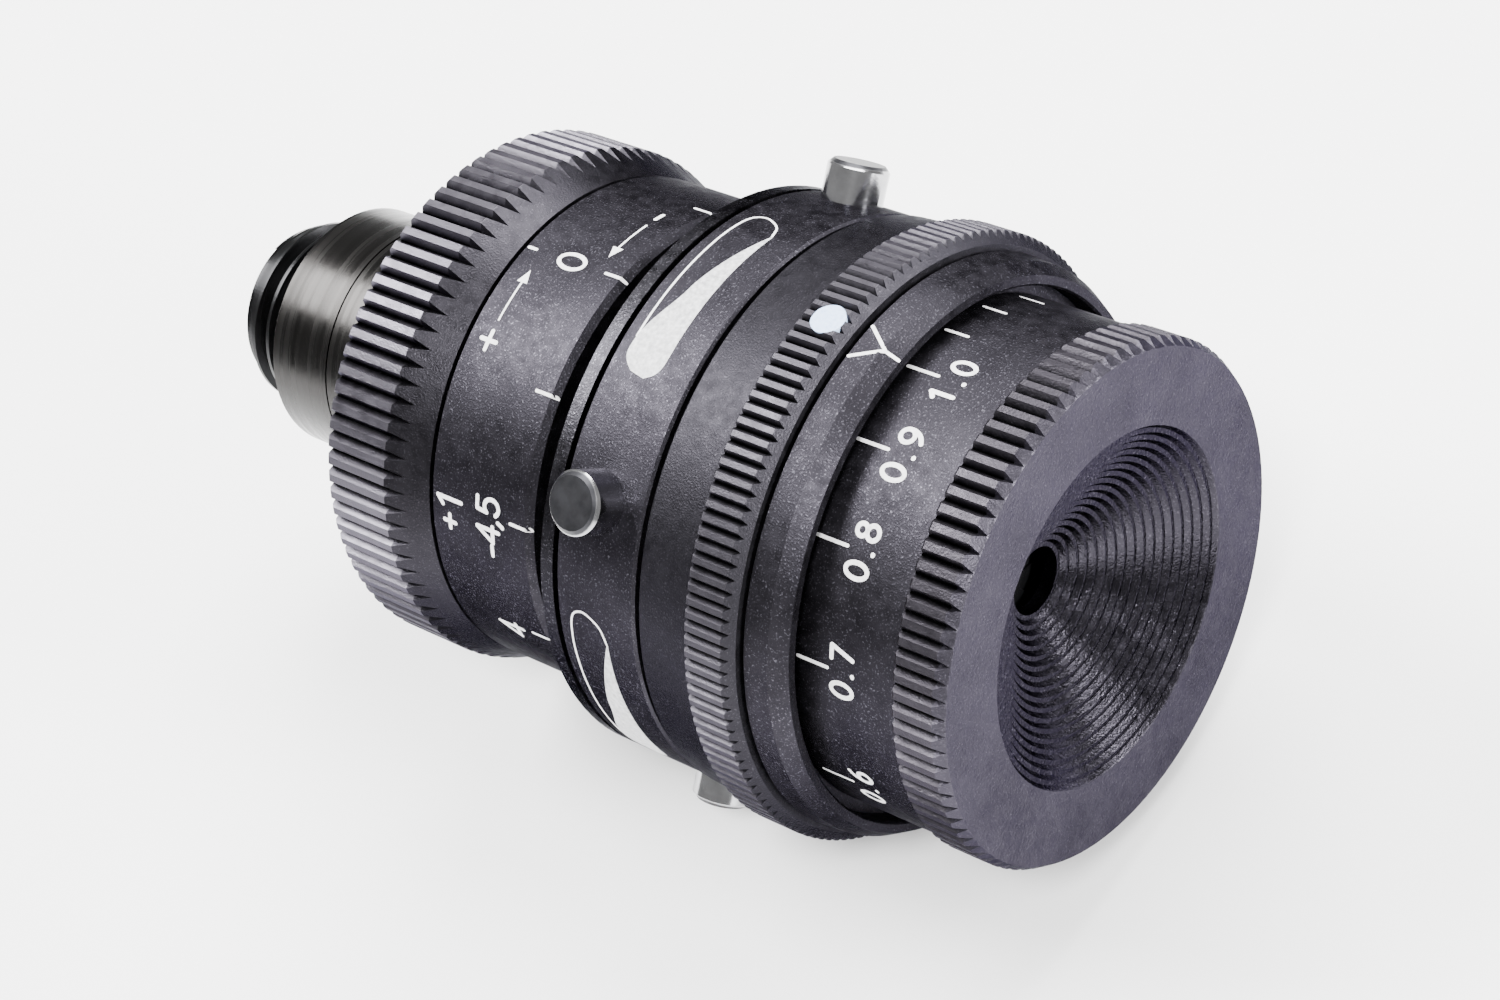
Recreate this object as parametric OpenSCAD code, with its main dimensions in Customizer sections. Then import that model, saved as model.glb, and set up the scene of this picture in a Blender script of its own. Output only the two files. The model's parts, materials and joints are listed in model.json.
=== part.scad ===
// Adjustable iris eyepiece with dioptre correction and twin polariser.
// All sizes in millimetres.
// X runs along the optical axis from the mounting thread to the eyepiece.
// Z points to the index marks; the origin is where the mounting shoulder
// meets the optical axis.

/* [Mount] */
// Outside diameter of the mounting thread
thread_d = 9.5; // [9:0.5:12]
// Pitch of the mounting thread
thread_pitch = 1; // [0.75:0.25:1.5]
// Length of the mounting thread
thread_len = 4.2; // [3:0.1:6]
// Diameter of the clear optical bore in the stub
stub_bore_d = 6; // [4:0.5:7]
// Diameter of the bright collar
collar_d = 12.4; // [11:0.1:14]

/* [Dioptre] */
// Diameter over the knurl of the dioptre ring
dioptre_d = 25.7; // [24:0.1:28]
// Number of teeth round the dioptre ring
dioptre_teeth = 90; // [60:6:120]
// Diameter of the smooth scale sleeve
sleeve_d = 24; // [22:0.1:25]

/* [Polariser] */
// Diameter of the ring that carries the grip pins
polariser_d = 27.2; // [26:0.1:30]
// Diameter of a grip pin
pin_d = 2.9; // [2:0.1:3.4]
// Radius of the circle on which the pin ends lie
pin_reach = 15.4; // [14.5:0.1:18]
// Diameter over the knurl of the analyser ring
analyser_d = 28.6; // [28:0.1:32]
// Number of teeth round the analyser ring
analyser_teeth = 144; // [90:6:180]

/* [Iris] */
// Diameter of the iris scale barrel
barrel_d = 23.74; // [22:0.1:24]
// Diameter over the knurl of the eye disc
eye_d = 24.24; // [23:0.1:26]
// Number of teeth round the eye disc
eye_teeth = 92; // [60:4:120]
// Diameter of the sight hole in the middle of the eye disc
sight_hole_d = 3.2; // [2:0.1:4]
// Diameter of the mouth of the stepped cone
cone_mouth_d = 16.6; // [12:0.1:18]
// Number of anti-reflection steps in the cone
cone_steps = 17; // [8:1:24]
// Number of iris leaves
blade_count = 8; // [6:1:10]

/* [Build] */
// Node to draw; all draws the whole eyepiece

/* [Hidden] */
$fn = 96;
thread_r = thread_d / 2;
stub_bore_r = stub_bore_d / 2;
collar_r = collar_d / 2;
dioptre_r = dioptre_d / 2;
sleeve_r = sleeve_d / 2;
polariser_r = polariser_d / 2;
pin_r = pin_d / 2;
analyser_r = analyser_d / 2;
barrel_r = barrel_d / 2;
eye_r = eye_d / 2;
sight_r = sight_hole_d / 2;
mouth_r = cone_mouth_d / 2;

// Radial clearance of a turning fit
run_gap = 0.05;
// Overshoot of cutting bodies
eps = 0.5;
// Sharp tooth height above the crest, as a share of the groove depth
tip_over = 0.75;

// Radii shared by the nested tubes; the shank is relieved below the thread
stub_r = thread_r - 0.45;
tube_ro = 9;
tube_ri = 7;
ride_r = tube_ro + run_gap;
cell_r = tube_ri - run_gap;

// Stations along the axis
thread_root_r = thread_r - 0.55 * thread_pitch;
crest_first = -thread_len + 0.6;
thread_crests = floor(thread_len / thread_pitch);
collar_len = 3.85;
collar_gap = 0.1;
flange_x = 9.9;
flange_t = 1;
flange_r = 10.8;
tube_x0 = flange_x + flange_t;
dioptre_x0 = 11;
dioptre_cham_x = 14.8;
dioptre_x1 = 16.9;
hub_r = 10.4;
hub_x1 = 18.4;
sleeve_x0 = 17.15;
sleeve_x1 = 23.2;
ring_a_x0 = 24.85;
ring_a_x1 = 26.1;
pol_x0 = 26.3;
pol_x1 = 30.85;
pin_x = 28.3;
ana_x0 = 31.15;
ana_knurl_x = 34.3;
ana_x1 = 36.77;
tube_x1 = 37.1;
rim_x0 = 36.9;
rim_x1 = 39;
rim_ri = 12.45;
barrel_x0 = 37.95;
eye_x0 = 43.75;
eye_x1 = 46.36;
cone_x0 = 42.3;
// Share of a cone step's width that is its flat
step_flat = 0.55;

// Moving parts: half widths of the slots in the main tube
guide_x = 15;
guide_r = 0.6;
guide_travel = 1.2;
guide_angle = 90;
drive_r = 0.8;
drive_swing = 54;
screw_x = 33;
screw_r = 0.6;
screw_swing = 67;
screw_end_r = 12.9;
drive_angle = 45;

// Iris
hub_plate_x = 37.8;
hub_spigot_x = 36.2;
plate_x0 = 39.6;
plate_x1 = 40;
plate_r = 10.9;
stud_x0 = 39.7;
blade_x0 = 40.1;
blade_t = 0.08;
blade_step = 0.12;
pivot_circle = 7.64;
pivot_r = 0.4;

// Iris leaf: arc radius, width, and how far its centre lies from the axis
// so that the leaves leave an opening of rest_opening between them.
rest_opening = 1;
leaf_ri = 7;
leaf_w = 2.2;
leaf_off = leaf_ri - rest_opening / 2;
leaf_arm = leaf_ri + leaf_w / 2;
leaf_gamma = acos(
    (pow(pivot_circle, 2) + pow(leaf_arm, 2) - pow(leaf_off, 2))
    / (2 * pivot_circle * leaf_arm)
);
leaf_cy = leaf_arm * sin(leaf_gamma);
leaf_cz = pivot_circle - leaf_arm * cos(leaf_gamma);
leaf_dir = -atan2(leaf_cy, leaf_cz);
// Angles of the strip from its point nearest the axis: back to just past
// its pivot, and forward to a tip that stays inside the pivot circle.
leaf_tail = 180 - leaf_gamma + leaf_dir + 5;
leaf_head = 45;

// ---------- helpers ----------

// Body turned about the X axis; points are [radius, station].
module turned(points) {
    rotate([0, 90, 0])
        rotate_extrude()
            polygon(points);
}

// Plain ring about the X axis.
module ring(x0, x1, ri, ro) {
    turned([[ri, x0], [ro, x0], [ro, x1], [ri, x1]]);
}

// Solid disc about the X axis.
module disc(x0, x1, r) {
    translate([x0, 0, 0])
        rotate([0, 90, 0])
            cylinder(h = x1 - x0, r = r);
}

// Puts a feature that points along +Z at an angle from +Z towards +Y.
module at_angle(a) {
    rotate([-a, 0, 0])
        children();
}

// Radial rod at station x, angle a, between two radii.
module radial_rod(x, a, r0, r1, r) {
    at_angle(a)
        translate([x, 0, r0])
            cylinder(h = r1 - r0, r = r);
}

// Arc slot round the X axis, centred on angle a.
module arc_slot(x, a, half_width, swing) {
    rotate([0, 90, 0])
        rotate([0, 0, 180 - a - swing])
            rotate_extrude(angle = 2 * swing)
                translate([tube_ri - eps, x - half_width])
                    square([tube_ro - tube_ri + 2 * eps, 2 * half_width]);
}

// Toothed prism whose sharp tips stand tip_over past the crest; the turned
// blank cuts them back, which leaves broad crests and narrow V grooves.
module teeth(x0, x1, crest, depth, count) {
    tip = crest + tip_over * depth;
    root = crest - depth;
    translate([x0, 0, 0])
        rotate([0, 90, 0])
            linear_extrude(height = x1 - x0)
                polygon([
                    for (i = [0 : 2 * count - 1])
                        let (a = 180 * i / count, r = i % 2 == 0 ? tip : root)
                            [-r * cos(a), r * sin(a)]
                ]);
}

// ---------- fixed body ----------

module mount_stub() {
    color([0.07, 0.07, 0.08])
        turned(concat(
            [[stub_bore_r, -thread_len], [thread_root_r, -thread_len]],
            [
                for (i = [0 : thread_crests - 1])
                    for (p = [
                        [thread_root_r, -0.42], [thread_r, -0.15],
                        [thread_r, 0.15], [thread_root_r, 0.42]
                    ])
                        [p[0], crest_first + (i + p[1]) * thread_pitch]
            ],
            [
                [thread_root_r, -0.15], [thread_r, -0.08], [thread_r, 0],
                [stub_r, 0], [stub_r, flange_x],
                [stub_bore_r + 0.6, flange_x], [stub_bore_r + 0.6, 5.5],
                [stub_bore_r, 5.5]
            ]
        ));
}

module collar() {
    color([0.45, 0.44, 0.43])
        turned([
            [stub_r, 0], [collar_r - 0.12, 0], [collar_r, 0.12],
            [collar_r, collar_len], [stub_r, collar_len]
        ]);
}

module collar_ring() {
    color([0.35, 0.34, 0.33])
        ring(collar_len + collar_gap, flange_x, stub_r, collar_r);
}

module rear_flange() {
    color([0.1, 0.1, 0.11])
        difference() {
            turned([
                [stub_bore_r + 0.6, flange_x], [flange_r - 0.2, flange_x],
                [flange_r, flange_x + 0.2], [flange_r, tube_x0],
                [stub_bore_r + 0.6, tube_x0]
            ]);
            flange_screw_bodies();
        }
}

// Three countersunk screws.
module flange_screw_bodies() {
    for (a = [60, 180, 300])
        at_angle(a)
            translate([flange_x, 0, 8])
                rotate([0, 90, 0])
                    rotate_extrude($fn = 32)
                        polygon([
                            [0, 0], [0.9, 0], [0.5, 0.4], [0.5, 3.4], [0, 3.4]
                        ]);
}

module flange_screws() {
    color([0.3, 0.3, 0.31])
        difference() {
            flange_screw_bodies();
            for (a = [60, 180, 300])
                at_angle(a)
                    translate([flange_x - 0.1, -0.6, 7.9])
                        cube([0.35, 1.2, 0.2]);
        }
}

module main_tube() {
    color([0.09, 0.09, 0.1])
        difference() {
            ring(tube_x0, tube_x1, tube_ri, tube_ro);
            flange_screw_bodies();
            front_screw_bodies();
            for (a = [guide_angle, -guide_angle])
                at_angle(a)
                    translate([
                        guide_x - guide_travel - guide_r - 0.1,
                        -guide_r - run_gap, tube_ri - eps
                    ])
                        cube([
                            2 * (guide_travel + guide_r + 0.1),
                            2 * (guide_r + run_gap),
                            tube_ro - tube_ri + 2 * eps
                        ]);
            for (a = [drive_angle, drive_angle - 180])
                arc_slot(pin_x, a, drive_r + run_gap, drive_swing);
            for (a = [90, -90])
                arc_slot(screw_x, a, screw_r + run_gap, screw_swing);
        }
}

module ring_a() {
    color([0.3, 0.3, 0.32])
        turned([
            [tube_ro, ring_a_x0], [polariser_r - 0.65, ring_a_x0],
            [polariser_r, ring_a_x0 + 0.55], [polariser_r, ring_a_x1],
            [tube_ro, ring_a_x1]
        ]);
}

module index_sleeve() {
    color([0.13, 0.13, 0.14])
        difference() {
            turned([
                [tube_ri, tube_x1], [12.6, tube_x1], [12.8, rim_x0],
                [13.4, rim_x0], [13.5, rim_x0 + 0.1], [13.4, 38.2], [12.95, rim_x1],
                [rim_ri + 0.1, rim_x1], [rim_ri, rim_x1 - 0.1],
                [rim_ri, tube_x1 + 0.7], [tube_ri, tube_x1 + 0.7]
            ]);
            front_screw_bodies();
        }
}

module front_screw_bodies() {
    for (a = [0, 120, 240])
        at_angle(a)
            translate([tube_x1 + 0.7, 0, 8])
                rotate([0, -90, 0])
                    rotate_extrude($fn = 32)
                        polygon([
                            [0, 0], [0.9, 0], [0.5, 0.4], [0.5, 3.4], [0, 3.4]
                        ]);
}

module front_screws() {
    color([0.3, 0.3, 0.31])
        front_screw_bodies();
}

module iris_hub() {
    color([0.16, 0.16, 0.17])
        turned([
            [5, hub_spigot_x], [tube_ri, hub_spigot_x],
            [tube_ri, hub_plate_x], [plate_r, hub_plate_x],
            [plate_r, plate_x0], [5, plate_x0]
        ]);
}

module iris_plate() {
    color([0.4, 0.36, 0.25])
        difference() {
            ring(plate_x0, plate_x1, 2.6, plate_r);
            for (i = [1 : blade_count])
                radial_pivot_hole(i);
        }
}

module radial_pivot_hole(i) {
    at_angle(360 * i / blade_count)
        translate([plate_x0 - 0.1, 0, pivot_circle])
            rotate([0, 90, 0])
                cylinder(h = 0.6, r = pivot_r + 0.03, $fn = 32);
}

module objective_lens() {
    color([0.7, 0.8, 0.9, 0.6])
        turned([
            [0, 5.5], [stub_bore_r + 0.55, 5.5], [stub_bore_r + 0.55, 6.6],
            [stub_bore_r - 0.2, 6.9], [1.6, 7.15], [0, 7.2]
        ]);
}

module objective_ring() {
    color([0.12, 0.12, 0.13])
        ring(6.75, 8, stub_bore_r + 0.2, stub_bore_r + 0.6);
}

// ---------- dioptre drive ----------

module dioptre_ring() {
    color([0.22, 0.21, 0.23])
        difference() {
            union() {
                intersection() {
                    turned([
                        [ride_r - 0.2, dioptre_x0], [dioptre_r - 0.15, dioptre_x0],
                        [dioptre_r, dioptre_x0 + 0.15], [dioptre_r, dioptre_cham_x],
                        [sleeve_r, dioptre_x1], [ride_r - 0.2, dioptre_x1]
                    ]);
                    teeth(dioptre_x0, dioptre_x1, dioptre_r, 0.42, dioptre_teeth);
                }
                ring(dioptre_x1 - eps, hub_x1, ride_r - 0.2, hub_r);
            }
            disc(dioptre_x0 - eps, hub_x1 + eps, ride_r);
            disc(guide_x - 2.2, guide_x + 2.4, 9.95);
        }
}

module scale_sleeve() {
    color([0.17, 0.17, 0.18])
        turned([
            [hub_r, sleeve_x0], [sleeve_r, sleeve_x0],
            [sleeve_r, sleeve_x1 - 0.3], [sleeve_r - 0.3, sleeve_x1],
            [ride_r, sleeve_x1], [ride_r, hub_x1 + 0.05], [hub_r, hub_x1 + 0.05]
        ]);
}

module lens_cell() {
    color([0.14, 0.14, 0.15])
        difference() {
            turned([
                [4.4, 13], [cell_r, 13], [cell_r, 17.4], [5.6, 17.4],
                [5.6, 14], [4.4, 14]
            ]);
            for (a = [guide_angle, -guide_angle])
                radial_rod(guide_x, a, 4, 8, guide_r);
        }
}

module dioptre_lens() {
    color([0.7, 0.8, 0.9, 0.6])
        turned([
            [0, 14], [5.55, 14], [5.55, 14.8], [4, 15.35], [2.5, 15.75],
            [0, 15.9]
        ]);
}

module lens_ring() {
    color([0.1, 0.1, 0.11])
        ring(15, 16.2, 5, 5.6);
}

module guide_pins() {
    color([0.7, 0.7, 0.68])
        for (a = [guide_angle, -guide_angle])
            radial_rod(guide_x, a, 5.7, 9.8, guide_r);
}

// ---------- polariser ----------

module polariser_ring() {
    color([0.2, 0.2, 0.21])
        difference() {
            turned([
                [ride_r, pol_x0 - 0.1], [12.6, pol_x0 - 0.1], [12.6, pol_x0],
                [polariser_r - 0.12, pol_x0], [polariser_r, pol_x0 + 0.12],
                [polariser_r, pol_x1 - 0.12], [polariser_r - 0.12, pol_x1],
                [12.6, pol_x1], [12.6, pol_x1 + 0.2], [ride_r, pol_x1 + 0.2]
            ]);
            for (a = [0 : 90 : 270])
                radial_rod(pin_x, drive_angle + a, 10.4, 14, pin_r);
            for (a = [0, 180])
                radial_rod(pin_x, drive_angle + a, 8, 11, drive_r);
        }
}

// Pin with a softly turned-down end.
module pin_body(a, shank) {
    at_angle(a)
        translate([pin_x, 0, 0]) {
            rotate_extrude($fn = 48)
                polygon([
                    [0, 10.5], [pin_r, 10.5], [pin_r, pin_reach - 0.25],
                    [pin_r - 0.25, pin_reach], [0, pin_reach]
                ]);
            if (shank)
                translate([0, 0, 5.9])
                    cylinder(h = 4.8, r = drive_r, $fn = 32);
        }
}

module drive_pins() {
    color([0.75, 0.75, 0.76])
        for (a = [0, 180])
            pin_body(drive_angle + a, true);
}

module grip_pins() {
    color([0.75, 0.75, 0.76])
        for (a = [90, 270])
            pin_body(drive_angle + a, false);
}

module polariser_cell() {
    color([0.14, 0.14, 0.15])
        difference() {
            turned([
                [4.2, 26.6], [cell_r, 26.6], [cell_r, 30], [5.4, 30],
                [5.4, 27.2], [4.2, 27.2]
            ]);
            for (a = [0, 180])
                radial_rod(pin_x, drive_angle + a, 5, 8, drive_r);
        }
}

module polariser_filter() {
    color([0.35, 0.36, 0.34, 0.7])
        disc(27.2, 28.2, 5.35);
}

module polariser_clip() {
    color([0.1, 0.1, 0.11])
        ring(28.2, 29.2, 4.5, 5.4);
}

// ---------- analyser ----------

module analyser_ring() {
    color([0.22, 0.21, 0.23])
        difference() {
            union() {
                turned([
                    [ride_r - 0.2, ana_x0], [analyser_r - 0.75, ana_x0],
                    [analyser_r - 0.6, ana_x0 + 0.15],
                    [analyser_r - 0.4, ana_knurl_x + 0.1],
                    [ride_r - 0.2, ana_knurl_x + 0.1]
                ]);
                intersection() {
                    turned([
                        [ride_r - 0.2, ana_knurl_x], [analyser_r - 0.1, ana_knurl_x],
                        [analyser_r, ana_knurl_x + 0.1], [analyser_r, ana_x1 - 0.42],
                        [analyser_r - 0.54, ana_x1], [ride_r - 0.2, ana_x1]
                    ]);
                    teeth(ana_knurl_x, ana_x1, analyser_r, 0.3, analyser_teeth);
                }
            }
            disc(ana_x0 - eps, ana_x1 + eps, ride_r);
            radial_rod(35.6, 0, analyser_r - 0.5, analyser_r + eps, 0.8);
            for (a = [90, -90])
                radial_rod(screw_x, a, 8, screw_end_r, screw_r);
        }
}

module index_dot() {
    color([0.5, 0.65, 0.95])
        radial_rod(35.6, 0, analyser_r - 0.5, analyser_r - 0.04, 0.8);
}

module analyser_screws() {
    color([0.2, 0.2, 0.21])
        for (a = [90, -90])
            radial_rod(screw_x, a, 5.9, screw_end_r, screw_r);
}

module analyser_cell() {
    color([0.14, 0.14, 0.15])
        difference() {
            turned([
                [4.2, 31.4], [cell_r, 31.4], [cell_r, 34.6], [5.4, 34.6],
                [5.4, 32], [4.2, 32]
            ]);
            for (a = [90, -90])
                radial_rod(screw_x, a, 5, 8, screw_r);
        }
}

module analyser_filter() {
    color([0.35, 0.36, 0.34, 0.7])
        disc(32, 33, 5.35);
}

module analyser_clip() {
    color([0.1, 0.1, 0.11])
        ring(33, 34, 4.5, 5.4);
}

// ---------- iris ----------

module iris_barrel() {
    color([0.18, 0.18, 0.19])
        difference() {
            turned([
                [10.95, barrel_x0], [barrel_r, barrel_x0],
                [barrel_r, eye_x0], [8.9, eye_x0], [8.9, 42.6],
                [10.95, 42.6]
            ]);
            eye_screw_bodies();
        }
}

// Stepped cone: each step is a short flat followed by a short riser.
module eye_disc() {
    rise = (eye_x1 - cone_x0) / cone_steps;
    run = (mouth_r - sight_r) / cone_steps;
    color([0.32, 0.31, 0.35])
        difference() {
            union() {
                intersection() {
                    turned([
                        [0, eye_x0], [eye_r - 0.1, eye_x0],
                        [eye_r, eye_x0 + 0.12], [eye_r, eye_x1 - 0.52],
                        [eye_r - 0.33, eye_x1], [0, eye_x1]
                    ]);
                    teeth(eye_x0, eye_x1 + 0.1, eye_r, 0.33, eye_teeth);
                }
                disc(41.6, eye_x0 + eps, 8.8);
            }
            turned(concat(
                [[0, cone_x0 - 2], [sight_r, cone_x0 - 2], [sight_r, cone_x0]],
                [
                    for (i = [0 : cone_steps - 1])
                        for (p = [[step_flat, 0], [1, 1]])
                            [sight_r + (i + p[0]) * run, cone_x0 + (i + p[1]) * rise]
                ],
                [[mouth_r, eye_x1 + eps], [0, eye_x1 + eps]]
            ));
            eye_screw_bodies();
        }
}

module eye_screw_bodies() {
    for (a = [30, 150, 270])
        at_angle(a)
            translate([42.7, 0, 10])
                rotate([0, 90, 0])
                    cylinder(h = 2.4, r = 0.6, $fn = 32);
}

module eye_screws() {
    color([0.3, 0.3, 0.31])
        eye_screw_bodies();
}

// Leaf i of the iris: a curved strip that turns on a stud in the iris plate.
// Its inner edge is an arc of radius leaf_ri centred leaf_off from the axis.
module blade(i) {
    x = blade_x0 + (i - 1) * blade_step;
    color([0.28, 0.28, 0.27])
        at_angle(360 * i / blade_count) {
            translate([x, leaf_cy, leaf_cz])
                rotate([0, 90, 0])
                    rotate([0, 0, leaf_dir - leaf_tail])
                        rotate_extrude(angle = leaf_tail + leaf_head)
                            translate([leaf_ri, 0])
                                square([leaf_w, blade_t]);
            translate([stud_x0, 0, pivot_circle])
                rotate([0, 90, 0])
                    cylinder(h = x - stud_x0 + blade_t / 2, r = pivot_r, $fn = 32);
        }
}

module iris_blade_1() { blade(1); }
module iris_blade_2() { blade(2); }
module iris_blade_3() { blade(3); }
module iris_blade_4() { blade(4); }
module iris_blade_5() { blade(5); }
module iris_blade_6() { blade(6); }
module iris_blade_7() { blade(7); }
module iris_blade_8() { blade(8); }

// ---------- drawing ----------
mount_stub();
collar();
collar_ring();
rear_flange();
flange_screws();
main_tube();
ring_a();
index_sleeve();
front_screws();
iris_hub();
iris_plate();
objective_lens();
objective_ring();
dioptre_ring();
scale_sleeve();
lens_cell();
dioptre_lens();
lens_ring();
guide_pins();
polariser_ring();
drive_pins();
grip_pins();
polariser_cell();
polariser_filter();
polariser_clip();
analyser_ring();
index_dot();
analyser_screws();
analyser_cell();
analyser_filter();
analyser_clip();
iris_barrel();
eye_disc();
eye_screws();
iris_blade_1();
iris_blade_2();
iris_blade_3();
iris_blade_4();
iris_blade_5();
iris_blade_6();
iris_blade_7();
iris_blade_8();
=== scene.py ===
import json
import math

import bmesh
import bpy
from mathutils import Matrix, Vector


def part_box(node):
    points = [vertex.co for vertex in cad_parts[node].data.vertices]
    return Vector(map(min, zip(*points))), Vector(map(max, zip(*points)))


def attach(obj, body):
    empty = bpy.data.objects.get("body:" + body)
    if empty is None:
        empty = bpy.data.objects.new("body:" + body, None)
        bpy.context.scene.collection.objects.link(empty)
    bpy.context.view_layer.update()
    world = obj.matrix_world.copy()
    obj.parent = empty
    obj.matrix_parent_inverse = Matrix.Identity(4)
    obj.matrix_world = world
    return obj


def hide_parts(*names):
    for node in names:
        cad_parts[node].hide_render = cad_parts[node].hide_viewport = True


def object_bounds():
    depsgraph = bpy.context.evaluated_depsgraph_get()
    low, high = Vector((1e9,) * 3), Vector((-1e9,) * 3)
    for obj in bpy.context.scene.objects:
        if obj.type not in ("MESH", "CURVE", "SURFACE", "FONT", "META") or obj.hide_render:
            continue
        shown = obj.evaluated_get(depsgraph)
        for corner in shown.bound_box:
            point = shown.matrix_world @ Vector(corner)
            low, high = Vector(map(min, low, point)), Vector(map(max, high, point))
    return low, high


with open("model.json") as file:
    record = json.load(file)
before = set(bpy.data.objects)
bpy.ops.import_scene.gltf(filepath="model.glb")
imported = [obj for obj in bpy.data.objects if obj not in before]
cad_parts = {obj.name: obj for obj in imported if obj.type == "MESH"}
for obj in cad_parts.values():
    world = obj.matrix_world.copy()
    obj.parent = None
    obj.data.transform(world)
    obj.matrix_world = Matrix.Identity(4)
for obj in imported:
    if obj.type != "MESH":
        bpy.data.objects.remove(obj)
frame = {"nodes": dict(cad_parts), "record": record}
CAD_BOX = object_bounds()
NODES = frame["nodes"]
MM = 0.001

# A print reaches this far above and below the surface it lies on, in millimetres
PRINT_LIFT = 0.012
# Widths of the printed strokes, in millimetres
FIGURE_STROKE = 0.21
TICK_STROKE = 0.16
OUTLINE_STROKE = 0.1
# Longest step of a stroke, so that it follows the drum, and the steps of its round ends
STROKE_STEP = 0.4
CAP_STEPS = 6

# Noise scales, in cells per metre: blasted grain, patches of roughness and cloudy tone
GRAIN = 11000
PATCHES = 1800
LATHE_LINES = 3200
# Noise is spread between these two values, which leave its rare extremes out
NOISE_LOW, NOISE_HIGH = 0.3, 0.7


def node_radius(node):
    """Largest radius of a turned CAD node, in millimetres."""
    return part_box(node)[1].y / MM


def node_span(node):
    """First and last station of a CAD node along the axis, in millimetres."""
    low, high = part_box(node)
    return low.x / MM, high.x / MM


SLEEVE_R = node_radius("scale_sleeve")
SLEEVE_X1 = node_span("scale_sleeve")[1]
POLAR_R = node_radius("polariser_ring")
BARREL_R = node_radius("iris_barrel")
RIM_X1 = node_span("index_sleeve")[1]


# ---------- materials ----------

class Shader:
    """A Principled material that is built up node by node."""

    def __init__(self, name, metallic, roughness):
        self.mat = bpy.data.materials.new(name)
        self.mat.use_nodes = True
        self.tree = self.mat.node_tree
        self.bsdf = self.tree.nodes["Principled BSDF"]
        self.bsdf.inputs["Metallic"].default_value = metallic
        self.bsdf.inputs["Roughness"].default_value = roughness
        self.coords = self.node("ShaderNodeTexCoord").outputs["Object"]
        self.height = None

    def dull_edge(self, grey):
        """Keeps dark anodising dark where it is seen at a grazing angle."""
        self.bsdf.inputs["Specular Tint"].default_value = (grey, grey, 1.06 * grey, 1)

    def node(self, kind, **values):
        made = self.tree.nodes.new(kind)
        for key, value in values.items():
            setattr(made, key, value)
        return made

    def link(self, source, target):
        self.tree.links.new(source, target)

    def noise(self, scale, detail=2.0, stretch=(1, 1, 1)):
        """Noise of so many cells per metre; stretch scales the axes."""
        mapping = self.node("ShaderNodeMapping")
        mapping.inputs["Scale"].default_value = stretch
        self.link(self.coords, mapping.inputs["Vector"])
        made = self.node("ShaderNodeTexNoise")
        made.inputs["Scale"].default_value = scale
        made.inputs["Detail"].default_value = detail
        self.link(mapping.outputs["Vector"], made.inputs["Vector"])
        return made.outputs["Fac"]

    def ramp(self, value, low, high, low_color, high_color):
        """Two colours between two values of a noise."""
        made = self.node("ShaderNodeValToRGB")
        made.color_ramp.elements[0].position = low
        made.color_ramp.elements[0].color = (*low_color, 1)
        made.color_ramp.elements[1].position = high
        made.color_ramp.elements[1].color = (*high_color, 1)
        self.link(value, made.inputs["Fac"])
        return made.outputs["Color"]

    def span(self, value, low, high, start=NOISE_LOW, end=NOISE_HIGH):
        """Maps a value from start..end to low..high, and clamps it there."""
        made = self.node("ShaderNodeMapRange")
        made.inputs["From Min"].default_value = start
        made.inputs["From Max"].default_value = end
        made.inputs["To Min"].default_value = low
        made.inputs["To Max"].default_value = high
        self.link(value, made.inputs["Value"])
        return made.outputs["Result"]

    def plain_color(self, color):
        """A colour socket of one colour, to mix with others."""
        made = self.node("ShaderNodeRGB").outputs[0]
        made.default_value = (*color, 1)
        return made

    def mix(self, factor, first, second):
        """Mixes two colour sockets by a factor socket."""
        made = self.node("ShaderNodeMix", data_type="RGBA")
        self.link(factor, made.inputs[0])
        self.link(first, made.inputs[6])
        self.link(second, made.inputs[7])
        return made.outputs[2]

    def radius(self):
        """Distance from the X axis, in metres."""
        flat = self.node("ShaderNodeVectorMath", operation="MULTIPLY")
        flat.inputs[1].default_value = (0, 1, 1)
        self.link(self.coords, flat.inputs[0])
        made = self.node("ShaderNodeVectorMath", operation="LENGTH")
        self.link(flat.outputs["Vector"], made.inputs[0])
        return made.outputs["Value"]

    def station(self):
        """Place along the X axis, in metres."""
        made = self.node("ShaderNodeSeparateXYZ")
        self.link(self.coords, made.inputs[0])
        return made.outputs["X"]

    def brightest(self, first, second):
        """The larger of two values."""
        made = self.node("ShaderNodeMath", operation="MAXIMUM")
        self.link(first, made.inputs[0])
        self.link(second, made.inputs[1])
        return made.outputs[0]

    def edge_wear(self):
        """One on convex edges and none on flats, from Geometry's Pointiness."""
        point = self.node("ShaderNodeNewGeometry").outputs["Pointiness"]
        return self.span(point, 0, 1, 0.52, 0.62)

    def color(self, socket):
        self.link(socket, self.bsdf.inputs["Base Color"])

    def roughness(self, socket):
        self.link(socket, self.bsdf.inputs["Roughness"])

    def bump(self, value, depth, strength=1.0):
        """Adds a bump of so many metres on top of earlier ones."""
        made = self.node("ShaderNodeBump")
        made.inputs["Distance"].default_value = depth
        made.inputs["Strength"].default_value = strength
        self.link(value, made.inputs["Height"])
        if self.height is not None:
            self.link(self.height, made.inputs["Normal"])
        self.height = made.outputs["Normal"]
        self.link(self.height, self.bsdf.inputs["Normal"])


def shade(color, factor):
    """A colour made darker or lighter."""
    return tuple(factor * c for c in color)


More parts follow.
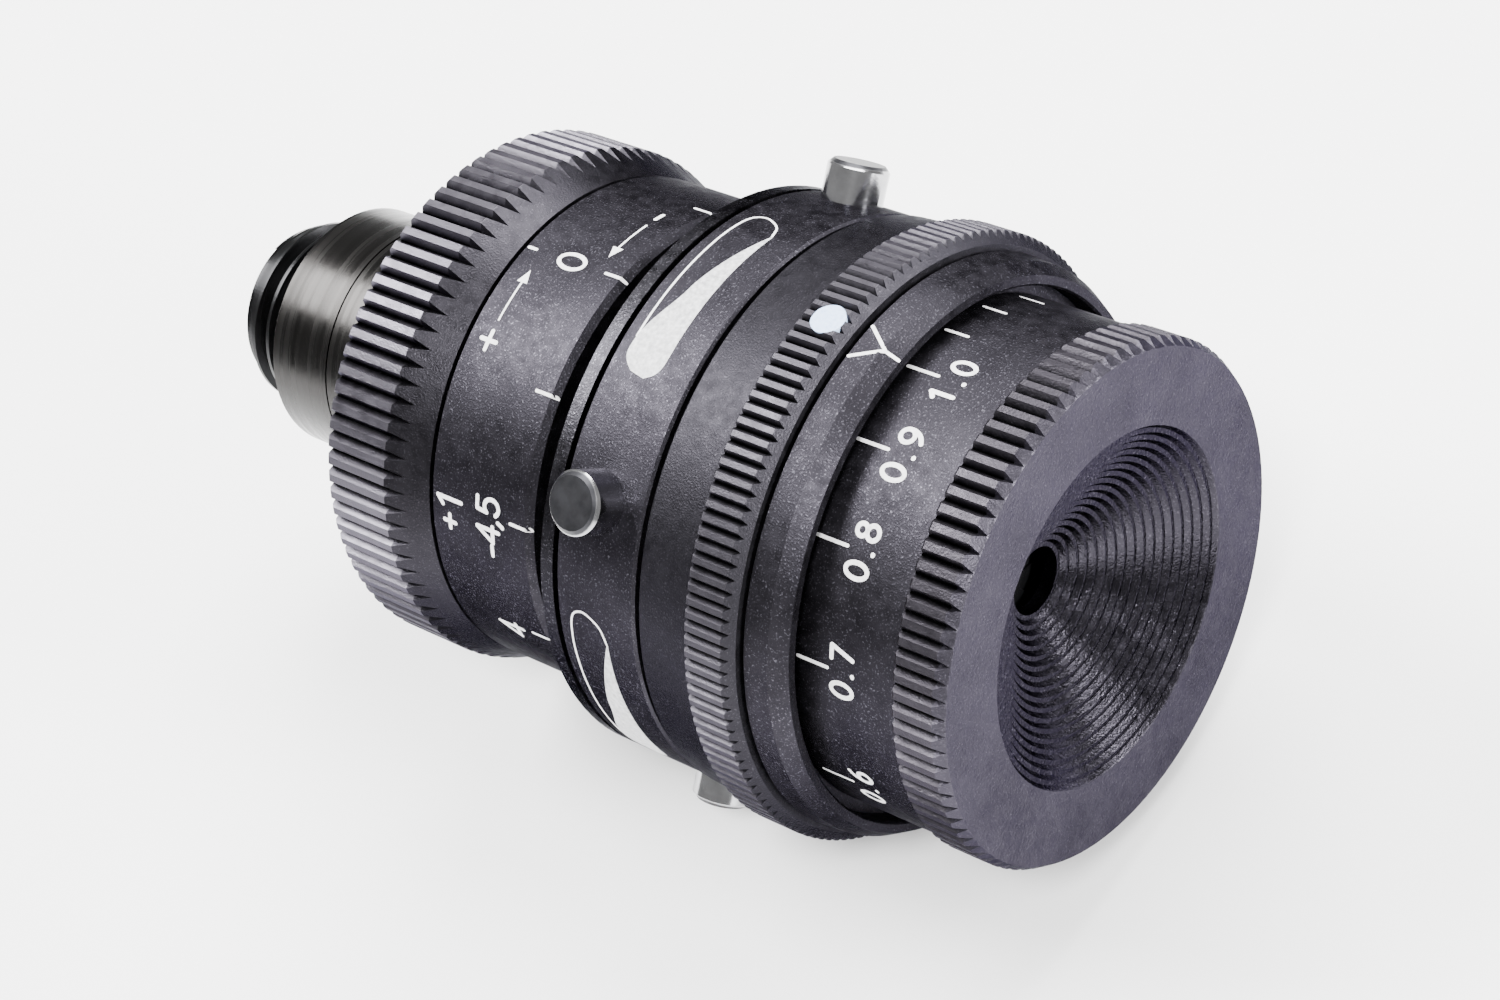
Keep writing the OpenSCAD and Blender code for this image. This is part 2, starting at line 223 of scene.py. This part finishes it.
def blasted_metal(name, dark, light, roughness, sparkle):
    """Bead-blasted anodised aluminium: fine grain over cloudy tone, with painted sparkle, bright
    specks in the colour that stand for glints.
    """
    made = Shader(name, 1.0, roughness)
    made.dull_edge(0.22)
    fine = made.noise(GRAIN, 2)
    cloud = made.noise(260, 4)
    base = made.ramp(cloud, NOISE_LOW, NOISE_HIGH, dark, light)
    # Painted sparkle: fine specks turn lighter, towards the sparkle colour, as painted glints
    painted_sparkle = made.ramp(fine, 0.5, 0.72, light, sparkle)
    speck = made.span(fine, 0, 0.75, 0.56, 0.76)
    made.color(made.mix(speck, base, painted_sparkle))
    made.roughness(made.span(made.noise(PATCHES, 3), roughness - 0.07, roughness + 0.09))
    made.bump(fine, 0.000018, 0.9)
    made.bump(made.noise(2600, 3), 0.00001, 0.4)
    return made.mat


def knurled_metal(name, crest, plain, roughness, top_r, depth, knurl, glints=0.0):
    """Blasted metal with knurl teeth between the two stations of knurl; painted shade makes their
    grooves black, fading to the crest colour up the teeth.

    Everything outside those stations, or well below the teeth, is plain. With glints, the
    stepped cone inside is a little darker and glossier, and glitters by that strength.
    """
    # Painted shade: colour of the tooth grooves, near black, so that the grooves look shaded
    groove_shade_painted = (0.004, 0.004, 0.0045)
    made = Shader(name, 1.0, roughness)
    made.dull_edge(0.3)
    fine = made.noise(GRAIN, 2)
    first, last = knurl
    foot_r = top_r - depth
    height = made.span(made.radius(), 0, 1, foot_r * MM, (top_r - CREST_BAND) * MM)
    before = made.span(made.station(), 1, 0, (first - FADE) * MM, (first + FADE) * MM)
    after = made.span(made.station(), 0, 1, (last - FADE) * MM, (last + FADE) * MM)
    below = made.span(made.radius(), 1, 0, (foot_r - 0.4) * MM, (foot_r - 0.3) * MM)
    is_plain = made.brightest(made.brightest(before, after), below)
    # Tooth colour by depth: painted shade near black at the foot, the crest colour at the tips
    teeth = made.ramp(height, 0.1, 0.9, groove_shade_painted, crest)
    cloud = made.noise(300, 4)
    body = made.ramp(cloud, NOISE_LOW, NOISE_HIGH, shade(plain, 0.82), plain)
    base = made.mix(is_plain, teeth, body)
    if glints:
        dim = made.plain_color(shade(plain, 0.62))
        in_cone = made.span(made.radius(), 1, 0, (CONE_R - 0.06) * MM, (CONE_R + 0.02) * MM)
        base = made.mix(in_cone, base, dim)
    # Painted sparkle: fine specks lighter than the surface, as painted glints of the blasted grain
    speck = made.span(fine, 0, 0.6, 0.58, 0.76)
    painted_sparkle_color = made.ramp(is_plain, 0, 1, crest, shade(plain, 2.6))
    made.color(made.mix(speck, base, painted_sparkle_color))
    rough = made.span(made.noise(PATCHES, 3), roughness - 0.06, roughness + 0.08)
    made.bump(fine, 0.00002, 0.9)
    if glints:
        glossy = made.node("ShaderNodeMath", operation="MULTIPLY_ADD")
        glossy.inputs[1].default_value = -CONE_GLOSS
        made.link(in_cone, glossy.inputs[0])
        made.link(rough, glossy.inputs[2])
        rough = glossy.outputs[0]
        made.bump(made.noise(5200, 1), 0.00003, glints)
    made.roughness(rough)
    return made.mat


def pin_metal(name, face, side, face_r):
    """Polished pin: bright sides and rim, and a darker turned end face."""
    polish, turned = 0.14, 0.42
    made = Shader(name, 1.0, polish)
    cloud = made.noise(1500, 4)
    at_face = made.span(made.radius(), 0, 1, (face_r - 0.16) * MM, (face_r - 0.1) * MM)
    end = made.ramp(cloud, NOISE_LOW, NOISE_HIGH, face, shade(face, 1.7))
    round_side = made.ramp(cloud, NOISE_LOW, NOISE_HIGH, shade(side, 0.8), side)
    made.color(made.mix(at_face, round_side, end))
    made.roughness(made.span(at_face, polish, turned, 0, 1))
    made.bump(made.noise(7000, 3), 0.000004, 0.5)
    return made.mat


def turned_metal(name, dark, light, roughness, metallic=1.0):
    """Lathe-turned metal, with rings that run round the X axis."""
    made = Shader(name, metallic, roughness)
    rings = made.noise(LATHE_LINES, 3, (1, 0.02, 0.02))
    tone = made.ramp(made.noise(420, 4), NOISE_LOW, NOISE_HIGH, dark, light)
    made.color(made.mix(made.edge_wear(), tone, made.plain_color(light)))
    made.roughness(made.span(rings, roughness - 0.06, roughness + 0.1))
    made.bump(rings, 0.000006, 0.5)
    made.bump(made.noise(9000, 2), 0.000003, 0.3)
    return made.mat


def glass(name, tint, roughness):
    """Coated glass that shows a faint surface haze."""
    made = Shader(name, 0.0, roughness)
    made.bsdf.inputs["Transmission Weight"].default_value = 0.9
    made.bsdf.inputs["IOR"].default_value = 1.52
    haze = made.noise(700, 3)
    bright = tuple(min(1, c) for c in shade(tint, 1.1))
    made.color(made.ramp(haze, NOISE_LOW, NOISE_HIGH, tint, bright))
    made.roughness(made.span(haze, roughness, roughness + 0.04))
    return made.mat


def paint(name, dark, light, roughness):
    """Printed or filled paint with slight thickness changes."""
    made = Shader(name, 0.0, roughness)
    mottled = made.noise(5200, 3)
    made.color(made.ramp(mottled, NOISE_LOW, NOISE_HIGH, dark, light))
    made.roughness(made.span(mottled, roughness - 0.05, roughness + 0.1))
    made.bump(mottled, 0.000004, 0.5)
    return made.mat


DIOPTRE_R = node_radius("dioptre_ring")
ANALYSER_R = node_radius("analyser_ring")
EYE_R = node_radius("eye_disc")
# First and last station of the tooth crests of each knurl
DIOPTRE_KNURL = (node_span("dioptre_ring")[0], 14.8)
ANALYSER_KNURL = (34.3, node_span("analyser_ring")[1] - 0.42)
EYE_KNURL = (43.75, node_span("eye_disc")[1] - 0.52)
# How far the grip pins and the mouth of the stepped cone reach from the axis
PIN_END_R = 15.4
CONE_R = 8.3
# Full crest colour starts this far below the tooth tips; a knurl ends over twice FADE
CREST_BAND = 0.04
FADE = 0.02
# How much less rough the stepped cone is than the face round it
CONE_GLOSS = 0.18

MATERIALS = {
    "black_satin": blasted_metal(
        "black_satin", (0.019, 0.0177, 0.0215), (0.031, 0.029, 0.035), 0.45, (0.13, 0.125, 0.15)),
    "black_thread": turned_metal(
        "black_thread", (0.004, 0.004, 0.0045), (0.014, 0.014, 0.015), 0.26, 0.9),
    "knurl_black": knurled_metal(
        "knurl_black", (0.1, 0.094, 0.11), (0.026, 0.0245, 0.029), 0.38, DIOPTRE_R, 0.42,
        DIOPTRE_KNURL),
    "knurl_fine": knurled_metal(
        "knurl_fine", (0.06, 0.0565, 0.066), (0.025, 0.0237, 0.028), 0.45, ANALYSER_R, 0.3,
        ANALYSER_KNURL),
    "collar_bright": turned_metal(
        "collar_bright", (0.011, 0.0103, 0.0099), (0.028, 0.0268, 0.026), 0.24),
    "ring_grey": blasted_metal(
        "ring_grey", (0.018, 0.017, 0.02), (0.028, 0.027, 0.031), 0.3, (0.16, 0.155, 0.18)),
    "eye_grey": knurled_metal(
        "eye_grey", (0.045, 0.0415, 0.049), (0.046, 0.0425, 0.053), 0.42, EYE_R, 0.33, EYE_KNURL,
        glints=0.5),
    "pin_steel": pin_metal("pin_steel", (0.03, 0.03, 0.033), (0.42, 0.42, 0.43), PIN_END_R),
    "screw_steel": turned_metal(
        "screw_steel", (0.06, 0.06, 0.065), (0.13, 0.13, 0.14), 0.32),
    "inner_black": blasted_metal(
        "inner_black", (0.004, 0.004, 0.0045), (0.009, 0.009, 0.01), 0.62, (0.02, 0.02, 0.022)),
    "lens_glass": glass("lens_glass", (0.82, 0.88, 0.95), 0.02),
    "polar_glass": glass("polar_glass", (0.28, 0.29, 0.27), 0.03),
    "blade_steel": turned_metal(
        "blade_steel", (0.02, 0.02, 0.023), (0.05, 0.05, 0.055), 0.36),
    "plate_brass": turned_metal(
        "plate_brass", (0.05, 0.042, 0.025), (0.1, 0.085, 0.05), 0.4),
    "dot_enamel": paint("dot_enamel", (0.42, 0.56, 0.82), (0.55, 0.68, 0.92), 0.3),
    "print_white": paint("print_white", (0.7, 0.69, 0.7), (0.9, 0.89, 0.9), 0.5),
    "print_silver": paint("print_silver", (0.3, 0.3, 0.31), (0.62, 0.62, 0.63), 0.42),
}

# Nodes whose look differs from the others of their slot
SPECIAL = {"analyser_ring": "knurl_fine"}


def dress_cad_nodes():
    """Gives every CAD node the material of its slot."""
    for row in frame["record"]["subparts"]:
        piece = NODES[row["node"]]
        piece.data.materials.clear()
        look = SPECIAL.get(row["node"], row["material_slot"])
        piece.data.materials.append(MATERIALS[look])


def add_piece(name, mesh, material, body):
    """Makes a visible piece of a bmesh, which is used up, and lets it ride on a body."""
    bmesh.ops.recalc_face_normals(mesh, faces=mesh.faces)
    data = bpy.data.meshes.new(name)
    mesh.to_mesh(data)
    mesh.free()
    piece = bpy.data.objects.new(name, data)
    bpy.context.scene.collection.objects.link(piece)
    data.materials.append(MATERIALS[material])
    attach(piece, body)
    return piece


# ---------- markings ----------

def on_drum(x, angle, radius):
    """Point on a drum round the X axis; the angle runs from +Z towards +Y, in degrees."""
    turn = math.radians(angle)
    return Vector((x, radius * math.sin(turn), radius * math.cos(turn))) * MM


class Print:
    """A thin raised print on turned surfaces; radius_at gives the surface radius at x."""

    def __init__(self, name, body, radius_at, material="print_white"):
        self.name = name
        self.body = body
        self.radius_at = radius_at
        self.material = material
        self.mesh = bmesh.new()

    def spot(self, x, angle, lift):
        """Point over the surface by the lift."""
        return on_drum(x, angle, self.radius_at(x) + lift)

    def slab(self, outline):
        """A closed outline of (x, angle) points as a thin raised patch."""
        low = [self.mesh.verts.new(self.spot(x, a, -PRINT_LIFT)) for x, a in outline]
        high = [self.mesh.verts.new(self.spot(x, a, PRINT_LIFT)) for x, a in outline]
        self.mesh.faces.new(high)
        self.mesh.faces.new(list(reversed(low)))
        for i in range(len(outline)):
            j = (i + 1) % len(outline)
            self.mesh.faces.new((low[i], low[j], high[j], high[i]))

    def stroke(self, points, width):
        """A line of even width through (x, angle) points, with round ends."""
        flat = [self.flatten(p) for p in points]
        for a, b in zip(flat, flat[1:]):
            self.bar(a, b, width)

    def flatten(self, point):
        """A point of the unrolled surface, both ways in millimetres."""
        x, angle = point
        return Vector((x, math.radians(angle) * self.radius_at(x)))

    def unflatten(self, point):
        """Back from the unrolled surface to a station and an angle."""
        return point.x, math.degrees(point.y / self.radius_at(point.x))

    def bar(self, a, b, width):
        """One straight piece of a stroke, in small steps so that it follows the drum."""
        along = b - a
        if along.length < 1e-6:
            return
        along.normalize()
        side = Vector((-along.y, along.x)) * width / 2
        steps = max(1, round((b - a).length / STROKE_STEP))
        for k in range(steps):
            p = a.lerp(b, k / steps)
            q = a.lerp(b, (k + 1) / steps)
            self.slab([self.unflatten(v) for v in (p + side, q + side, q - side, p - side)])
        for centre, heading in ((a, -along), (b, along)):
            self.cap(centre, heading, width / 2)

    def cap(self, centre, heading, radius):
        """The half-round end of a stroke."""
        start = math.atan2(heading.y, heading.x) - math.pi / 2
        turns = [start + math.pi * k / CAP_STEPS for k in range(CAP_STEPS + 1)]
        arc = [centre + radius * Vector((math.cos(t), math.sin(t))) for t in turns]
        self.slab([self.unflatten(v) for v in arc])

    def finish(self):
        """Makes the piece. The record has no slot for white filling, so it names none."""
        add_piece(self.name, self.mesh, self.material, self.body)


def arc_points(cx, cy, rx, ry, first, last, count=10):
    """Points of an elliptical arc in glyph space, in degrees from +u."""
    return [
        (
            cx + rx * math.cos(math.radians(first + (last - first) * k / count)),
            cy + ry * math.sin(math.radians(first + (last - first) * k / count)),
        )
        for k in range(count + 1)
    ]


def smooth(points, parts=6):
    """A Catmull-Rom curve through the points, with its two ends kept."""
    run = [points[0], *points, points[-1]]
    curve = []
    for p0, p1, p2, p3 in zip(run, run[1:], run[2:], run[3:]):
        for k in range(parts):
            t = k / parts
            curve.append(tuple(
                0.5 * (2 * b + (c - a) * t + (2 * a - 5 * b + 4 * c - d) * t * t
                       + (3 * b - a - 3 * c + d) * t ** 3)
                for a, b, c, d in zip(p0, p1, p2, p3)
            ))
    return curve + [points[-1]]


def station_at(curve, angle):
    """Station of a curve of (x, angle) points, whose angles fall, at an angle."""
    for (x0, a0), (x1, a1) in zip(curve, curve[1:]):
        if a1 <= angle <= a0 and a0 > a1:
            return x0 + (x1 - x0) * (a0 - angle) / (a0 - a1)
    return curve[-1][0]


# Strokes of each figure in a box 0.6 wide and 1 high, as (u, v) with v up
GLYPHS = {
    "0": [arc_points(0.3, 0.5, 0.27, 0.46, 0, 360, 20)],
    "1": [[(0.12, 0.76), (0.34, 0.96), (0.34, 0.04)]],
    "4": [[(0.46, 0.04), (0.46, 0.96), (0.04, 0.3), (0.6, 0.3)]],
    "5": [[(0.52, 0.95), (0.12, 0.95), (0.08, 0.54)]
          + arc_points(0.29, 0.34, 0.27, 0.3, 125, -145, 14)],
    "6": [arc_points(0.3, 0.31, 0.26, 0.28, 0, 360, 18),
          arc_points(0.62, 0.36, 0.58, 0.62, 180, 108, 8)],
    "7": [[(0.05, 0.95), (0.55, 0.95), (0.22, 0.04)]],
    "8": [arc_points(0.3, 0.28, 0.26, 0.25, 0, 360, 18),
          arc_points(0.3, 0.74, 0.22, 0.21, 0, 360, 18)],
    "9": [arc_points(0.3, 0.69, 0.26, 0.28, 0, 360, 18),
          arc_points(-0.02, 0.64, 0.58, 0.62, 0, -72, 8)],
    "+": [[(0.3, 0.2), (0.3, 0.8)], [(0.0, 0.5), (0.6, 0.5)]],
    "-": [[(0.02, 0.5), (0.58, 0.5)]],
    ".": [[(0.29, 0.03), (0.31, 0.03)]],
    ",": [[(0.32, 0.06), (0.22, -0.14)]],
}


def figure(target, glyph, x, angle, height):
    """Prints one figure centred at x and angle; its top points towards the thread."""
    for strokes in GLYPHS[glyph]:
        points = []
        for u, v in strokes:
            shift = math.degrees((u - 0.3) * height / target.radius_at(x))
            points.append((x - (v - 0.5) * height, angle + shift))
        target.stroke(points, FIGURE_STROKE)


# Arrows: length of the head and half its width, in degrees and millimetres
ARROW_HEAD = 3.4
ARROW_HALF = 0.3
# The line of an arrow ends inside its head, this far from the tip
ARROW_TUCK = 2


def arrow(target, x, start, end):
    """A thin arrow round the drum from one angle to another."""
    step = math.copysign(1, end - start)
    target.stroke([(x, start), (x, end - ARROW_TUCK * step)], OUTLINE_STROKE)
    base = end - ARROW_HEAD * step
    target.slab([(x, end), (x - ARROW_HALF, base), (x + ARROW_HALF, base)])


# Dioptre scale: the sleeve's chamfer, the graduations that run over it, and the short zero mark
SCALE_CHAMFER = 0.3
SCALE_TICK = 1.2
SCALE_TICK_GAP = 0.08
SCALE_TICK_STEP = 30
SCALE_TICKS = range(-4, 8)
ZERO_MARK = (17.3, 17.75)


def scale_sleeve_print():
    """Figures, arrows and graduations of the dioptre scale."""
    chamfer_x = SLEEVE_X1 - SCALE_CHAMFER

    def radius_at(x):
        return SLEEVE_R - max(0.0, x - chamfer_x)

    made = Print("dioptre_scale_print", "dioptre_drive", radius_at)
    tick = (SLEEVE_X1 - SCALE_TICK, chamfer_x, SLEEVE_X1 - SCALE_TICK_GAP)
    for step in SCALE_TICKS:
        made.stroke([(x, SCALE_TICK_STEP * step) for x in tick], TICK_STROKE)
    made.stroke([(x, 0) for x in ZERO_MARK], TICK_STROKE)
    # Glyph, station, angle and height: the zero, then each sign with its arrow
    figure(made, "0", 19.95, 0, 1.6)
    figure(made, "+", 18.31, -23.5, 1.5)
    arrow(made, 18.3, -18.6, -5.4)
    figure(made, "-", 21.43, 21.3, 0.9)
    arrow(made, 21.45, 17, 4.2)
    # The two rows of the first reading, and the next reading round
    upper_x, lower_x = 18.2, 20.6
    figure(made, "+", upper_x, -65.3, 1.15)
    figure(made, "1", upper_x, -60.2, 1.6)
    figure(made, "-", lower_x + 0.2, -68.5, 0.9)
    for glyph, angle in (("4", -64.6), (",", -61.2), ("5", -58)):
        figure(made, glyph, lower_x, angle, 1.45)
    figure(made, "4", lower_x, -91.9, 1.6)
    made.finish()


# Wedge marks: their straight sides, the angle where these turn round the filled end, the
# angle of that end's tip, and how finely the filled area is cut to follow the drum
WEDGE_X0 = 27.0
WEDGE_X1 = 29.15
WEDGE_TURN = -14
WEDGE_TIP = (28.42, -21.2)
WEDGE_STEP = 1.7
WEDGE_END_STRIPS = 12


def wedge_outline():
    """The thin side of a wedge mark, from the filled end round to the hollow one."""
    return smooth([(WEDGE_X0, WEDGE_TURN), (WEDGE_X0, -4), (WEDGE_X0, 6), (WEDGE_X0, 15),
                   (27.16, 20.4), (27.7, 22.1), (28.3, 21.4), (28.8, 19.8), (29.08, 17)])


def wedge_divide():
    """The slanting edge of the filled area, from its point to the round end."""
    return smooth([(29.08, 16.8), (28.5, 9), (28.0, 1.1), (27.78, -3.9), (27.2, -10.7),
                   (WEDGE_X0, WEDGE_TURN)])


def wedge_end(fill, quarter):
    """The round end of a filled wedge, in strips that follow the drum."""
    near = smooth([(WEDGE_X0, WEDGE_TURN), (26.97, -17.2), (27.18, -19), (27.72, -20.8),
                   WEDGE_TIP])
    far = smooth([(WEDGE_X1, WEDGE_TURN), (29.12, -17.7), (28.92, -19.8), WEDGE_TIP])
    span = WEDGE_TURN - WEDGE_TIP[1]
    angles = [WEDGE_TURN - span * k / WEDGE_END_STRIPS for k in range(WEDGE_END_STRIPS + 1)]
    for a0, a1 in zip(angles, angles[1:]):
        corners = ((near, a0), (far, a0), (far, a1), (near, a1))
        fill.slab([(station_at(edge, a), a + quarter) for edge, a in corners])


def polariser_print():
    """The filled and outlined wedge, four times round the ring."""
    made = Print("polariser_outline", "polariser", lambda x: POLAR_R)
    fill = Print("polariser_wedge", "polariser", lambda x: POLAR_R, "print_silver")
    divide = wedge_divide()
    for quarter in (0, 90, 180, 270):
        made.stroke([(x, a + quarter) for x, a in wedge_outline()], OUTLINE_STROKE)
        for (x, a), (next_x, next_a) in zip(divide, divide[1:]):
            steps = max(1, math.ceil(abs(next_a - a) / WEDGE_STEP))
            for k in range(steps):
                x0, a0 = x + (next_x - x) * k / steps, a + (next_a - a) * k / steps
                x1, a1 = x + (next_x - x) * (k + 1) / steps, a + (next_a - a) * (k + 1) / steps
                fill.slab([(x0, a0 + quarter), (WEDGE_X1, a0 + quarter),
                           (WEDGE_X1, a1 + quarter), (x1, a1 + quarter)])
        wedge_end(fill, quarter)
    made.finish()
    fill.finish()


# Iris scale: the angle of each reading and of the short graduations after it
IRIS_READINGS = {-96.0: "0.6", -63.2: "0.7", -37.0: "0.8", -16.0: "0.9", 3.2: "1.0"}
IRIS_SHORT_TICKS = (16.3, 29.2, 42.5)
# Graduations start this far under the fixed sleeve's rim, and end at these stations
IRIS_TICK_TUCK = 0.4
IRIS_LONG_X1 = 40.2
IRIS_SHORT_X1 = 39.75
# Station and height of the figures, and the angle from one to the next
IRIS_FIGURE_X = 40.95
IRIS_FIGURE = 1.22
IRIS_FIGURE_STEP = 4.1


def iris_print():
    """Graduations and readings of the iris scale."""
    made = Print("iris_scale_print", "iris_drive", lambda x: BARREL_R)
    first = RIM_X1 - IRIS_TICK_TUCK
    for angle, reading in IRIS_READINGS.items():
        made.stroke([(first, angle), (IRIS_LONG_X1, angle)], TICK_STROKE)
        for place, glyph in enumerate(reading):
            turn = angle + IRIS_FIGURE_STEP * (place - 1)
            figure(made, glyph, IRIS_FIGURE_X, turn, IRIS_FIGURE)
    for angle in IRIS_SHORT_TICKS:
        made.stroke([(first, angle), (IRIS_SHORT_X1, angle)], TICK_STROKE)
    made.finish()


# Index sleeve under its mark, as (station, radius): a gentle slope, then the bevel
SLOPE_START = (37, 13.5)
BEVEL_START = (38.2, 13.4)
BEVEL_END = (39, 12.95)
# Stations of the Y mark: the ends of its arms, where they bend, its joint and its foot
INDEX_ARMS_X = 37.08
INDEX_JOINT_X = 38.35
INDEX_FOOT_X = 38.92
# Angles of the arms at their ends and where they bend
INDEX_ARM_ANGLE = 3.8
INDEX_BEND_ANGLE = 0.45


def index_print():
    """The index mark on the bevel of the fixed sleeve."""
    def radius_at(x):
        first, last = (SLOPE_START, BEVEL_START) if x < BEVEL_START[0] else (BEVEL_START, BEVEL_END)
        share = (x - first[0]) / (last[0] - first[0])
        return first[1] + (last[1] - first[1]) * share

    made = Print("index_print", "housing", radius_at)
    for side in (-1, 1):
        made.stroke([(INDEX_ARMS_X, INDEX_ARM_ANGLE * side),
                     (BEVEL_START[0], INDEX_BEND_ANGLE * side),
                     (INDEX_JOINT_X, 0)], TICK_STROKE)
    made.stroke([(INDEX_JOINT_X, 0), (INDEX_FOOT_X, 0)], TICK_STROKE)
    made.finish()


# ---------- mounting thread ----------

# The thread: crest radius, pitch and core radius
THREAD_MAJOR = 4.75
THREAD_PITCH = 1.0
THREAD_ROOT = THREAD_MAJOR - 0.55 * THREAD_PITCH
# Half widths of the ridge at its foot and crest, and how deep its foot is let into the core
RIDGE_FOOT = 0.4
RIDGE_CREST = 0.1
THREAD_SINK = 0.05
# The ridge stops this far inside the crest radius, so that it stays in the CAD's box
CREST_INSET = 0.01
# The ridge starts and ends this far from the tip and the shoulder, and fades in and out
THREAD_START = 0.45
THREAD_STOP = 0.5
FADE_PER_TURN = 3
# The shank inside the collar, the bore, the lens seat at its end and where that starts
STUB_R = 4.3
STUB_BORE = 3.0
SEAT_BORE = 3.6
SEAT_X = 5.5
# Lead-in chamfer at the tip, and the steep shoulder at the end of the core
TIP_CHAMFER = 0.2
SHOULDER_X0, SHOULDER_X1 = -0.15, -0.08
# Points round the axis
AROUND = 144


def lathe(mesh, profile):
    """Turns a closed (station, radius) outline round the X axis, all quads."""
    rings = [
        [mesh.verts.new(on_drum(x, 360 * k / AROUND, r)) for k in range(AROUND)]
        for x, r in profile
    ]
    for a, b in zip(rings, rings[1:] + rings[:1]):
        for k in range(AROUND):
            n = (k + 1) % AROUND
            mesh.faces.new((a[k], b[k], b[n], a[n]))


def helix(mesh, start, end):
    """A closed V-shaped ridge that winds round the core and runs out at both ends."""
    turns = (end - start) / THREAD_PITCH
    steps = round(turns * AROUND)
    foot = THREAD_ROOT - THREAD_SINK
    top = THREAD_MAJOR - CREST_INSET
    rows = []
    for k in range(steps + 1):
        share = k / steps
        turn = share * turns
        fade = max(0.02, min(1, turn * FADE_PER_TURN, (turns - turn) * FADE_PER_TURN))
        x = start + (end - start) * share
        crest = foot + (top - foot) * fade
        profile = ((-RIDGE_FOOT, foot), (-RIDGE_CREST, crest), (RIDGE_CREST, crest),
                   (RIDGE_FOOT, foot))
        rows.append([mesh.verts.new(on_drum(x + dx, 360 * turn, r)) for dx, r in profile])
    for a, b in zip(rows, rows[1:]):
        for i in range(4):
            n = (i + 1) % 4
            mesh.faces.new((a[i], b[i], b[n], a[n]))
    mesh.faces.new(rows[0])
    mesh.faces.new(list(reversed(rows[-1])))


def mounting_stub():
    """The stub with a true helical thread, which stands for the CAD node's ring grooves."""
    tip, end = node_span("mount_stub")
    mesh = bmesh.new()
    lathe(mesh, [
        (tip, STUB_BORE), (tip, THREAD_ROOT - TIP_CHAMFER), (tip + TIP_CHAMFER, THREAD_ROOT),
        (SHOULDER_X0, THREAD_ROOT), (SHOULDER_X1, THREAD_MAJOR), (0, THREAD_MAJOR),
        (0, STUB_R), (end, STUB_R), (end, SEAT_BORE), (SEAT_X, SEAT_BORE), (SEAT_X, STUB_BORE),
    ])
    helix(mesh, tip + THREAD_START, -THREAD_STOP)
    piece = add_piece("threaded_stub", mesh, "black_thread", "housing")
    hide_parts("mount_stub")


# ---------- stage ----------

# Camera: where it stands, and its three axes
CAMERA_AT = Vector((0.11688, -0.06470, 0.11082))
CAMERA_RIGHT = Vector((0.76293, 0.57856, -0.28846))
CAMERA_UP = Vector((-0.29363, 0.70763, 0.64268))
CAMERA_BACK = Vector((0.57595, -0.40562, 0.70975))
# Focal length and sensor width, in millimetres
LENS = 81.08
SENSOR = 36
# Middle of the object, which the lights are placed round and aimed at
CENTRE = Vector((0.022, 0, 0))
WORLD_STRENGTH = 0.5
FLOOR_SIZE = 4
FLOOR_GAP = 0.0002


def make_camera():
    """A camera at the photograph's viewing angle, rolled with the index upwards."""
    data = bpy.data.cameras.new("camera")
    data.lens = LENS
    data.sensor_width = SENSOR
    data.clip_start = 0.005
    camera = bpy.data.objects.new("camera", data)
    bpy.context.scene.collection.objects.link(camera)
    turn = Matrix((CAMERA_RIGHT, CAMERA_UP, CAMERA_BACK)).transposed()
    camera.matrix_world = Matrix.Translation(CAMERA_AT) @ turn.to_4x4()
    bpy.context.scene.camera = camera


def make_floor():
    """A pale floor under the object."""
    low = CAD_BOX[0].z
    bpy.ops.mesh.primitive_plane_add(size=FLOOR_SIZE, location=(0, 0, low - FLOOR_GAP))
    floor = bpy.context.object
    floor.name = "floor"
    made = Shader("floor_pale", 0.0, 0.75)
    made.color(made.ramp(made.noise(30, 3), NOISE_LOW, NOISE_HIGH, 3 * (0.93,), 3 * (0.96,)))
    floor.data.materials.append(made.mat)


def area_light(name, at, size, power):
    """A square light of so many metres and watts, aimed at the object."""
    data = bpy.data.lights.new(name, "AREA")
    data.size = size
    data.energy = power
    light = bpy.data.objects.new(name, data)
    light.location = at
    aim = CENTRE - at
    light.rotation_euler = aim.to_track_quat("-Z", "Y").to_euler()
    bpy.context.scene.collection.objects.link(light)


def make_lights():
    """Soft studio light from the left and above, from the camera and from the eyepiece side."""
    left = CENTRE - 0.3 * CAMERA_RIGHT + 0.22 * CAMERA_UP + 0.1 * CAMERA_BACK
    top = CENTRE + 0.34 * CAMERA_UP + 0.12 * CAMERA_BACK
    right = CENTRE + 0.32 * CAMERA_RIGHT + 0.14 * CAMERA_UP + 0.14 * CAMERA_BACK
    front = CENTRE + 0.36 * CAMERA_BACK - 0.07 * CAMERA_RIGHT + 0.04 * CAMERA_UP
    eyepiece_side = CENTRE + 0.38 * Vector((0.975, 0.08, 0.19))
    area_light("left_light", left, 0.2, 4.3)
    area_light("top_light", top, 0.24, 3.6)
    area_light("right_light", right, 0.16, 2.6)
    area_light("front_light", front, 0.07, 2.0)
    area_light("eyepiece_light", eyepiece_side, 0.05, 2.6)
    world = bpy.data.worlds.new("world")
    bpy.context.scene.world = world
    world.use_nodes = True
    background = world.node_tree.nodes["Background"]
    background.inputs["Color"].default_value = (1, 1, 1, 1)
    background.inputs["Strength"].default_value = WORLD_STRENGTH


make_camera()
make_floor()
make_lights()
dress_cad_nodes()
scale_sleeve_print()
polariser_print()
iris_print()
index_print()
mounting_stub()
